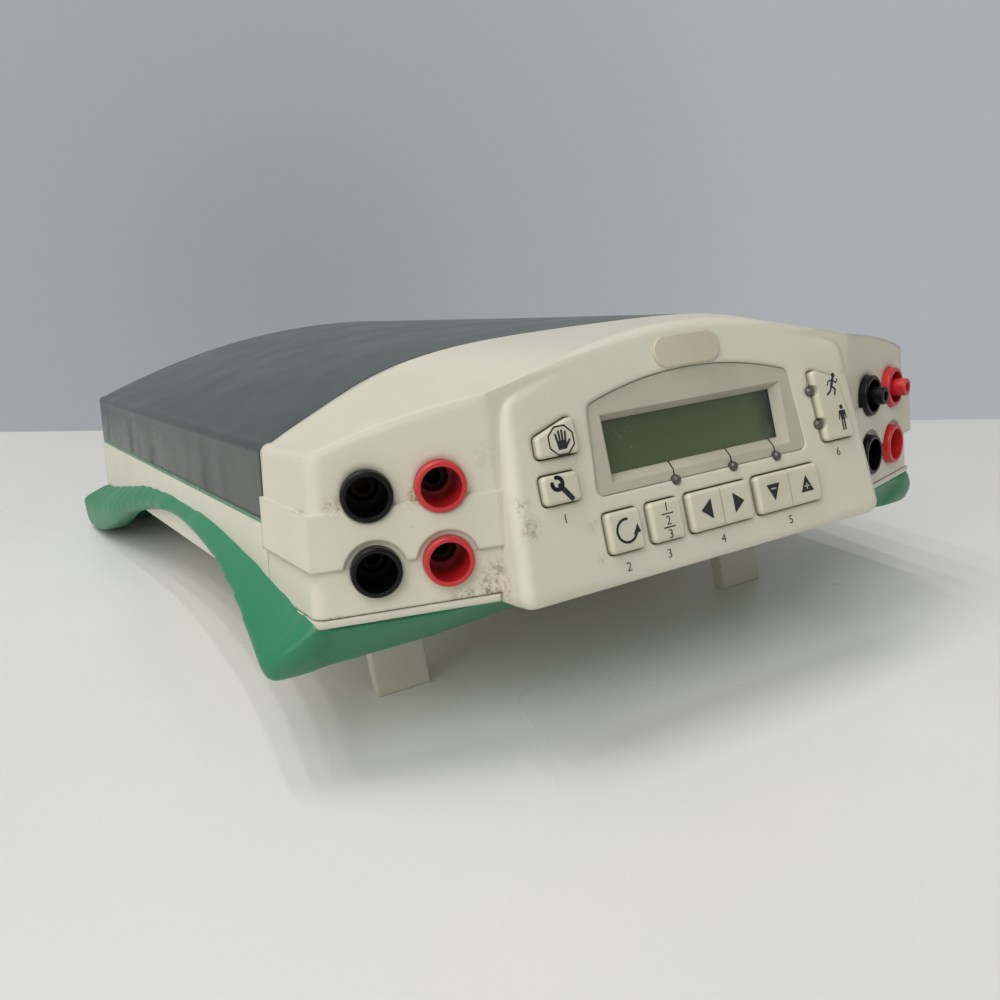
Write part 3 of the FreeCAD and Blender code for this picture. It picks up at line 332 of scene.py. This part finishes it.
def display_glass():
    """Unlit green display: darker and cracked to blue-black at its right end, scratched at the left, with painted
    shade darkening its top.
    """
    f = Finish("lcd_green")
    at = f.place(console)
    across = f.axis(at, "X")
    height = f.axis(at, "Y")
    base = f.mix(f.ramp(across, -31.0, 31.0), srgb(64, 76, 44), srgb(76, 88, 56))
    # painted shade: the top of the display stays darker and its lower part is lightened, as if shaded by the
    # bezel's upper edge
    base = f.mix(f.ramp(height, 46.0, 30.0, 0.0, 0.35), base, srgb(94, 106, 66))
    wobble = f.noise(140, 4.0, roughness=0.65)
    edge = f.maths("ADD", across, f.maths("MULTIPLY", f.maths("SUBTRACT", wobble, 0.5), 9.0))
    corner = f.maths("ADD", edge, f.maths("MULTIPLY", f.maths("SUBTRACT", height, 38.0), 0.18))
    base = f.mix(f.ramp(corner, 25.0, 31.5, 0.0, 0.9), base, srgb(30, 33, 36))
    scratch = f.ramp(f.noise(900, 3.0, stretch=(1.0, 0.25, 1.0), roughness=0.6), 0.64, 0.68)
    near = f.spot(at, (-26.0, 41.0, -4.0), 8.0)
    base = f.mix(f.maths("MULTIPLY", f.maths("MULTIPLY", scratch, near), 0.6), base, srgb(158, 164, 140))
    dust = f.ramp(f.noise(650, 6.0, roughness=0.8), 0.62, 0.72, 0.0, 0.22)
    base = f.mix(dust, base, srgb(140, 146, 122))
    f.bump(f.noise(500, 2.0), 0.02)
    return f.finish(base, f.ramp(f.noise(200, 4.0), 0.3, 0.7, 0.14, 0.26), coat=0.2)


def coil_finish():
    """Taped winding: bands across the coil."""
    f = Finish("winding_copper")
    bands = f.add("ShaderNodeTexWave", bands_direction="Z")
    bands.inputs["Scale"].default_value = 260
    bands.inputs["Distortion"].default_value = 0.6
    f.link(f.coord, bands.inputs["Vector"])
    base = f.mix(f.ramp(bands.outputs["Fac"], 0.2, 0.8), srgb(150, 104, 40), srgb(196, 146, 66))
    f.bump(bands.outputs["Fac"], 0.3)
    return f.finish(base, 0.45)


def laminated():
    """Stack of thin varnished sheets."""
    f = Finish("core_iron")
    sheets = f.add("ShaderNodeTexWave", bands_direction="Y")
    sheets.inputs["Scale"].default_value = 320
    f.link(f.coord, sheets.inputs["Vector"])
    base = f.mix(f.ramp(sheets.outputs["Fac"], 0.2, 0.8), srgb(52, 52, 56), srgb(92, 92, 96))
    rust = f.ramp(f.noise(120, 5.0), 0.6, 0.72, 0.0, 0.5)
    base = f.mix(rust, base, srgb(96, 66, 44))
    f.bump(sheets.outputs["Fac"], 0.25)
    return f.finish(base, 0.5, metallic=0.5)


finishes = {
    "cream_plastic": cream_plastic("cream_plastic", False),
    "console_cream": cream_plastic("console_cream", True),
    "cover_grey": cover_plastic(),
    "trim_green": moulded("trim_green", srgb(62, 122, 92), 0.3),
    "frame_green": frame_green(),
    "steel": moulded("steel", srgb(178, 178, 174), 0.32, grain=0.12, metal=1.0),
    "bezel_grey": moulded("bezel_grey", srgb(184, 180, 161), 0.42, edge=0.5 * MM),
    "lcd_metal": moulded("lcd_metal", srgb(126, 128, 122), 0.4, metal=0.8),
    "lcd_green": display_glass(),
    "board_green": moulded("board_green", srgb(34, 92, 58), 0.35, speck=0.5),
    "switch_black": moulded("switch_black", srgb(32, 32, 33), 0.45),
    "lamp_amber": moulded("lamp_amber", srgb(72, 66, 58), 0.18, coat=0.5),
    "lamp_green": moulded("lamp_green", srgb(78, 72, 62), 0.18, coat=0.5),
    "plate_cream": moulded("plate_cream", srgb(196, 188, 166), 0.4, edge=0.3 * MM),
    "jack_black": moulded("jack_black", srgb(9, 9, 11), 0.26, speck=0.3, edge=0.4 * MM, gloss=0.25),
    "jack_red": moulded("jack_red", srgb(196, 38, 42), 0.3, speck=0.3, edge=0.4 * MM, coat=0.2),
    "contact_brass": moulded("contact_brass", srgb(176, 160, 112), 0.3, metal=1.0),
    "panel_grey": moulded("panel_grey", srgb(188, 187, 178), 0.5, grain=0.2, grain_scale=1600),
    "black_plastic": moulded("black_plastic", srgb(30, 30, 31), 0.42, edge=0.3 * MM),
    "chrome_wire": moulded("chrome_wire", srgb(196, 196, 194), 0.18, metal=1.0),
    "core_iron": laminated(),
    "winding_copper": coil_finish(),
    "sink_aluminium": moulded("sink_aluminium", srgb(186, 188, 190), 0.36, metal=0.9),
    "capacitor_blue": moulded("capacitor_blue", srgb(34, 48, 92), 0.28),
    "choke_yellow": moulded("choke_yellow", srgb(190, 164, 54), 0.5),
    "key_beige": key_plastic(),
    "plate_silver": moulded("plate_silver", srgb(190, 190, 186), 0.38, edge=0.2 * MM),
}
print_black = moulded("print_black", srgb(28, 31, 36), 0.5, speck=0.1)
print_worn = moulded("print_worn", srgb(62, 60, 56), 0.6, speck=0.35)


def wear(obj, material):
    obj.data.materials.clear()
    obj.data.materials.append(material)


slots = {part["node"]: part["material_slot"] for part in frame["record"]["subparts"]}
for node_name, node in nodes.items():
    wear(node, finishes[slots[node_name]])
wear(nodes["front_housing"], finishes["console_cream"])
# jack contacts in dark brown, near black, in place of their brass finish
wear(nodes["jack_contacts"], moulded("contact_dark_brown", srgb(50, 42, 30), 0.55, metal=0.6))


# Pieces

def piece(name, mesh, body, material, place=Matrix()):
    """A finished object whose place is in its mesh, riding on a body."""
    bmesh.ops.remove_doubles(mesh, verts=mesh.verts, dist=0.000001)
    bmesh.ops.recalc_face_normals(mesh, faces=mesh.faces)
    bmesh.ops.transform(mesh, matrix=place, verts=mesh.verts)
    data = bpy.data.meshes.new(name)
    mesh.to_mesh(data)
    mesh.free()
    obj = bpy.data.objects.new(name, data)
    bpy.context.scene.collection.objects.link(obj)
    data.materials.append(material)
    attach(obj, body)
    return obj


def smooth(obj, angle=35.0):
    for polygon in obj.data.polygons:
        polygon.use_smooth = True
    obj.data.set_sharp_from_angle(angle=math.radians(angle))
    return obj


INK = 0.05          # thickness of a print, in millimetres


def ink_area(mesh, points, height):
    """A filled printed shape with straight edges."""
    verts = [mesh.verts.new((x * MM, y * MM, height * MM)) for x, y in points]
    face = mesh.faces.new(verts)
    out = bmesh.ops.extrude_face_region(mesh, geom=[face])
    moved = [v for v in out["geom"] if isinstance(v, bmesh.types.BMVert)]
    bmesh.ops.translate(mesh, verts=moved, vec=(0, 0, INK * MM))


def ink_dot(mesh, x, y, radius, height, sides=20):
    out = bmesh.ops.create_cone(mesh, segments=sides, cap_ends=True, radius1=radius * MM, radius2=radius * MM,
                                depth=INK * MM)
    bmesh.ops.translate(mesh, verts=out["verts"], vec=(x * MM, y * MM, (height + INK / 2) * MM))


def ink_line(mesh, points, width, height, closed=False):
    """A printed stroke with round corners and ends."""
    ring = list(points) + ([points[0]] if closed else [])
    for (x0, y0), (x1, y1) in zip(ring, ring[1:]):
        length = math.hypot(x1 - x0, y1 - y0)
        across = (-(y1 - y0) / length * width / 2, (x1 - x0) / length * width / 2)
        ink_area(mesh, [(x0 - across[0], y0 - across[1]), (x1 - across[0], y1 - across[1]),
                        (x1 + across[0], y1 + across[1]), (x0 + across[0], y0 + across[1])], height)
    for x, y in ring:
        ink_dot(mesh, x, y, width / 2, height + 0.002, 12)


def arc(x, y, radius, start, end, steps=22):
    angles = [math.radians(start + (end - start) * k / steps) for k in range(steps + 1)]
    return [(x + radius * math.cos(a), y + radius * math.sin(a)) for a in angles]


def digits(name, text, size, x, y, height, body, material):
    """A plain numeral printed on the console."""
    curve = bpy.data.curves.new(name, "FONT")
    curve.body = text
    curve.size = size * MM
    curve.align_x = "CENTER"
    curve.extrude = INK / 2 * MM
    holder = bpy.data.objects.new(name + "_text", curve)
    bpy.context.scene.collection.objects.link(holder)
    bpy.context.view_layer.update()
    data = bpy.data.meshes.new_from_object(holder.evaluated_get(bpy.context.evaluated_depsgraph_get()))
    mesh = bmesh.new()
    mesh.from_mesh(data)
    bpy.data.objects.remove(holder)
    place = console @ Matrix.Translation(Vector((x, y, height + INK / 2)) * MM)
    return piece(name, mesh, body, material, place)


key_top = 2.3 + 0.01        # height of the key faces over the console
face_top = 0.01


def key_mark(name, body, draw, height=key_top):
    mesh = bmesh.new()
    draw(mesh, height)
    return piece(name, mesh, body, print_black, console)


def draw_stop(mesh, h):
    """Open hand inside an eight-sided outline."""
    x, y = -48.6, 42.3
    ring = [(x + 4.1 * math.cos(math.radians(22.5 + 45 * k)), y + 4.1 * math.sin(math.radians(22.5 + 45 * k)))
            for k in range(8)]
    ink_line(mesh, ring, 0.42, h, closed=True)
    ink_area(mesh, [(x - 1.3, y - 2.4), (x + 1.3, y - 2.4), (x + 1.6, y), (x - 1.6, y)], h)
    for k, (top, lean) in enumerate(((1.7, -0.3), (2.4, -0.1), (2.5, 0.1), (2.0, 0.3))):
        foot = x - 1.25 + 0.83 * k
        ink_line(mesh, [(foot, y - 0.3), (foot + lean, y + top)], 0.62, h)
    ink_line(mesh, [(x + 1.2, y - 1.8), (x + 2.5, y - 0.2)], 0.62, h)


def draw_setup(mesh, h):
    """Open-ended spanner."""
    x, y = -50.9, 29.9
    ink_line(mesh, [(x - 0.7, y + 0.8), (x + 2.2, y - 3.0)], 1.5, h)
    ink_line(mesh, arc(x - 1.5, y + 1.5, 1.6, 175, 455), 1.15, h)


def draw_reset(mesh, h):
    """Circular arrow."""
    x, y = -33.7, 14.9
    ink_line(mesh, arc(x, y, 3.2, 80, 345, 30), 0.72, h)
    ink_area(mesh, [(x + 1.9, y - 1.5), (x + 4.5, y - 1.1), (x + 3.7, y + 1.3)], h)


def draw_constant(mesh, h):
    for y in (12.9, 16.7):
        ink_line(mesh, [(-21.3, y), (-17.5, y)], 0.34, h)


def draw_cursor(mesh, h):
    for x, way in ((-5.1, -1), (6.3, 1)):
        ink_area(mesh, [(x - way * 1.6, 11.9), (x + way * 2.4, 14.9), (x - way * 1.6, 17.9)][::way], h)


def draw_values(mesh, h):
    ink_area(mesh, [(18.0, 17.4), (20.6, 12.4), (23.2, 17.4)], h)
    ink_area(mesh, [(31.3, 12.6), (36.5, 12.6), (33.9, 17.6)], h)


def draw_signs(mesh, h):
    """Pale minus and plus inside the two arrows."""
    ink_line(mesh, [(19.8, 16.0), (21.4, 16.0)], 0.4, h + 0.06)
    ink_line(mesh, [(33.1, 14.3), (34.7, 14.3)], 0.4, h + 0.06)
    ink_line(mesh, [(33.9, 13.5), (33.9, 15.1)], 0.4, h + 0.06)


def draw_run(mesh, h):
    """A running figure above a standing one."""
    x, y = 52.0, 42.3
    ink_dot(mesh, x + 1.2, y + 3.3, 0.75, h)
    ink_line(mesh, [(x + 0.7, y + 2.2), (x - 0.3, y)], 1.0, h)
    ink_line(mesh, [(x - 0.3, y), (x + 1.1, y - 1.0), (x + 0.5, y - 2.6)], 0.62, h)
    ink_line(mesh, [(x - 0.3, y), (x - 1.2, y - 1.5), (x - 2.5, y - 2.3)], 0.62, h)
    ink_line(mesh, [(x + 0.5, y + 1.9), (x + 1.9, y + 0.9), (x + 2.6, y + 1.9)], 0.45, h)
    ink_line(mesh, [(x + 0.4, y + 1.9), (x - 1.3, y + 1.7), (x - 1.9, y + 0.5)], 0.45, h)
    x, y = 54.2, 32.4
    ink_dot(mesh, x, y + 3.1, 0.72, h)
    ink_area(mesh, [(x - 0.8, y - 0.9), (x + 0.8, y - 0.9), (x + 1.1, y + 2.1), (x - 1.1, y + 2.1)], h)
    for side in (-1, 1):
        ink_line(mesh, [(x + side * 0.48, y - 0.7), (x + side * 0.5, y - 3.9)], 0.62, h)
        ink_line(mesh, [(x + side * 1.1, y + 1.9), (x + side * 1.55, y - 0.6)], 0.42, h)


key_mark("mark_stop", "key_stop", draw_stop)
key_mark("mark_setup", "key_setup", draw_setup)
key_mark("mark_reset", "key_reset", draw_reset)
key_mark("mark_constant", "key_constant", draw_constant)
key_mark("mark_cursor", "key_cursor", draw_cursor)
key_mark("mark_values", "key_values", draw_values)
wear(key_mark("mark_signs", "key_values", draw_signs), finishes["key_beige"])
key_mark("mark_run", "key_run", draw_run)

for number, y in (("1", 17.4), ("2", 13.6), ("3", 9.8)):
    digits("constant_" + number, number, 3.5, -19.4, y, key_top, "key_constant", print_black)
captions = [("1", -50.6, 20.6), ("2", -33.7, 3.7), ("3", -19.4, 4.2), ("4", 0.5, 4.2), ("5", 27.3, 4.2),
            ("6", 52.0, 20.8)]
for number, x, y in captions:
    digits("caption_" + number, number, 3.6, x, y, face_top, "case", print_worn)


def lamp_lines():
    """Thin printed lines from the lamps up the bezel and into the display window."""
    mesh = bmesh.new()
    face = -0.5
    for x in (-12.3, 9.1, 26.4):
        rungs = [(0.0, 26.5, face), (0.0, 28.14, face), (1.2, 30.56, -3.68)]
        pairs = []
        for lean, y, n in rungs:
            lift = n + 0.03
            pairs.append([mesh.verts.new(((x + lean + side * 0.24) * MM, y * MM, lift * MM)) for side in (-1, 1)])
        for low, high in zip(pairs, pairs[1:]):
            mesh.faces.new([low[0], low[1], high[1], high[0]])
    bmesh.ops.solidify(mesh, geom=mesh.faces[:], thickness=0.02 * MM)
    return piece("lamp_lines", mesh, "case", print_black, console)


lamp_lines()


def body_half(y, z):
    """Half width of the body at a place, in millimetres."""
    flare = (y - 26.0) * math.tan(math.radians(2.0))
    draft = (20.0 - z) * math.tan(math.radians(4.5))
    return 112.9 + flare + draft


def sink_roots(mesh, depth):
    """Moves the faces that lie against the body's sides into the body."""
    home = level.inverted()
    for vert in mesh.verts:
        at = home @ vert.co / MM
        if at.z > -0.5 and at.y < 318.0 and abs(abs(at.x) - body_half(at.y, at.z)) < 0.7:
            at.x -= math.copysign(depth, at.x)
            vert.co = level @ (at * MM)


def softened(name, node_name, body, voxel, rounds):
    """The node's shape with all its edges rounded over."""
    source = nodes[node_name]
    mesh = bmesh.new()
    mesh.from_mesh(source.data)
    bmesh.ops.transform(mesh, matrix=source.matrix_world, verts=mesh.verts)
    bmesh.ops.remove_doubles(mesh, verts=mesh.verts, dist=0.000001)
    sink_roots(mesh, 3.5)
    data = bpy.data.meshes.new(name + "_raw")
    mesh.to_mesh(data)
    mesh.free()
    holder = bpy.data.objects.new(name + "_raw", data)
    bpy.context.scene.collection.objects.link(holder)
    even = holder.modifiers.new("even", "REMESH")
    even.mode = "VOXEL"
    even.voxel_size = voxel * MM
    relax = holder.modifiers.new("relax", "SMOOTH")
    relax.factor = 0.5
    relax.iterations = rounds
    bpy.context.view_layer.update()
    rounded = bpy.data.meshes.new_from_object(holder.evaluated_get(bpy.context.evaluated_depsgraph_get()))
    bpy.data.objects.remove(holder)
    mesh = bmesh.new()
    mesh.from_mesh(rounded)
    slot = slots[node_name]
    obj = smooth(piece(name, mesh, body, finishes[slot]), 60.0)
    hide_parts(node_name)
    print(name, len(obj.data.polygons), "faces")
    return obj


softened("leg_frame_soft", "leg_frame", "case", 1.15, 26)


# Studio

# camera worked out from the photograph, in the level body's frame, millimetres
lens_mm = 34.99
eye = Vector((-183.917, -205.613, 86.041))
look_right = Vector((0.86350, -0.49496, -0.09681))
look_down = Vector((-0.19525, -0.15110, -0.96904))
look_ahead = Vector((0.46501, 0.85568, -0.22712))

camera_data = bpy.data.cameras.new("camera")
camera_data.lens = lens_mm
camera_data.sensor_width = 36.0
camera_data.clip_start = 0.01
camera = bpy.data.objects.new("camera", camera_data)
bpy.context.scene.collection.objects.link(camera)
turned = Matrix((look_right, -look_down, -look_ahead)).transposed().to_4x4()
camera.matrix_world = level @ Matrix.Translation(eye * MM) @ turned
bpy.context.scene.camera = camera

# the table's far edge in the photograph, in pixels of its 1000 by 1000 frame
frame_size = 1000
table_edge = ((0, 432), (1000, 419))


def way_of(pixel):
    """Direction seen at a pixel."""
    reach = lens_mm / 36.0 * frame_size
    ray = Vector((pixel[0] - frame_size / 2, frame_size / 2 - pixel[1], -reach))
    return (camera.matrix_world.to_3x3() @ ray).normalized()


def floor_under(pixel):
    """Point on the floor seen at a pixel."""
    way = way_of(pixel)
    start = camera.matrix_world.to_translation()
    return start + way * (-start.z / way.z)


left, right = (floor_under(p) for p in table_edge)
edge_way = (right - left).normalized()
away = Vector((-edge_way.y, edge_way.x, 0.0))
middle = (left + right) / 2
half_table = 4.0


def table_material():
    f = Finish("table")
    base = f.mix(f.ramp(f.noise(3, 3.0), 0.35, 0.65), srgb(226, 226, 221), srgb(234, 234, 229))
    return f.finish(base, f.ramp(f.noise(8, 3.0), 0.3, 0.7, 0.24, 0.34))


mesh = bmesh.new()
corners = [middle - edge_way * half_table, middle + edge_way * half_table,
           middle + edge_way * half_table - away * half_table, middle - edge_way * half_table - away * half_table]
mesh.faces.new([mesh.verts.new((c.x, c.y, 0.0)) for c in reversed(corners)])
data = bpy.data.meshes.new("table")
mesh.to_mesh(data)
mesh.free()
table = bpy.data.objects.new("table", data)
bpy.context.scene.collection.objects.link(table)
data.materials.append(table_material())


def softbox(name, place, aim, size, power, length=None):
    """Rectangular lamp with its length running as near along Y as its aim allows."""
    light = bpy.data.lights.new(name, "AREA")
    light.shape = "RECTANGLE"
    light.size = size
    light.size_y = length or size
    light.energy = power
    lamp = bpy.data.objects.new(name, light)
    bpy.context.scene.collection.objects.link(lamp)
    back = (Vector(place) - Vector(aim)).normalized()
    across = Vector((0.0, 1.0, 0.0)).cross(back).normalized()
    along = back.cross(across)
    lamp.matrix_world = Matrix.Translation(place) @ Matrix((across, along, back)).transposed().to_4x4()


for count in range(4):
    x = -1.15 + 0.3 * count
    softbox("ceiling_%d" % count, (x, 0.05, 1.9), (0.0, 0.0, 0.0), 0.035, 3.6, 0.7)
softbox("front_high", (-1.05, -1.25, 1.85), (0.0, 0.0, 0.05), 1.3, 19.0)
softbox("window", (-2.1, -0.9, 1.1), (0.0, 0.0, 0.05), 1.2, 12.0)

world = bpy.data.worlds.new("room")
bpy.context.scene.world = world
world.use_nodes = True
tree = world.node_tree
backdrop = tree.nodes["Background"]
backdrop.inputs["Strength"].default_value = 1.0
fill_light = tree.nodes.new("ShaderNodeBackground")
fill_light.inputs["Color"].default_value = (1.0, 0.99, 0.97, 1.0)
fill_light.inputs["Strength"].default_value = 0.26
# painted shade on the backdrop: darker around the direction seen at pixel (300, 290), lighter grey further out
facing = tree.nodes.new("ShaderNodeTexCoord")
gap = tree.nodes.new("ShaderNodeVectorMath")
gap.operation = "DISTANCE"
gap.inputs[1].default_value = way_of((300, 290))
painted_backdrop_shade = tree.nodes.new("ShaderNodeValToRGB")
painted_backdrop_shade.color_ramp.elements[0].color = srgb(146, 151, 154)
painted_backdrop_shade.color_ramp.elements[1].color = srgb(170, 174, 178)
painted_backdrop_shade.color_ramp.elements[1].position = 0.5
tree.links.new(facing.outputs["Generated"], gap.inputs[0])
tree.links.new(gap.outputs["Value"], painted_backdrop_shade.inputs["Fac"])
tree.links.new(painted_backdrop_shade.outputs["Color"], backdrop.inputs["Color"])
path = tree.nodes.new("ShaderNodeLightPath")
seen = tree.nodes.new("ShaderNodeMath")
seen.operation = "MAXIMUM"
seen_too = tree.nodes.new("ShaderNodeMath")
seen_too.operation = "MAXIMUM"
blend = tree.nodes.new("ShaderNodeMixShader")
tree.links.new(path.outputs["Is Camera Ray"], seen.inputs[0])
tree.links.new(path.outputs["Is Glossy Ray"], seen.inputs[1])
tree.links.new(seen.outputs[0], seen_too.inputs[0])
tree.links.new(path.outputs["Is Transmission Ray"], seen_too.inputs[1])
tree.links.new(seen_too.outputs[0], blend.inputs[0])
tree.links.new(fill_light.outputs[0], blend.inputs[1])
tree.links.new(backdrop.outputs[0], blend.inputs[2])
tree.links.new(blend.outputs[0], tree.nodes["World Output"].inputs["Surface"])

bpy.context.scene.view_settings.view_transform = "Standard"
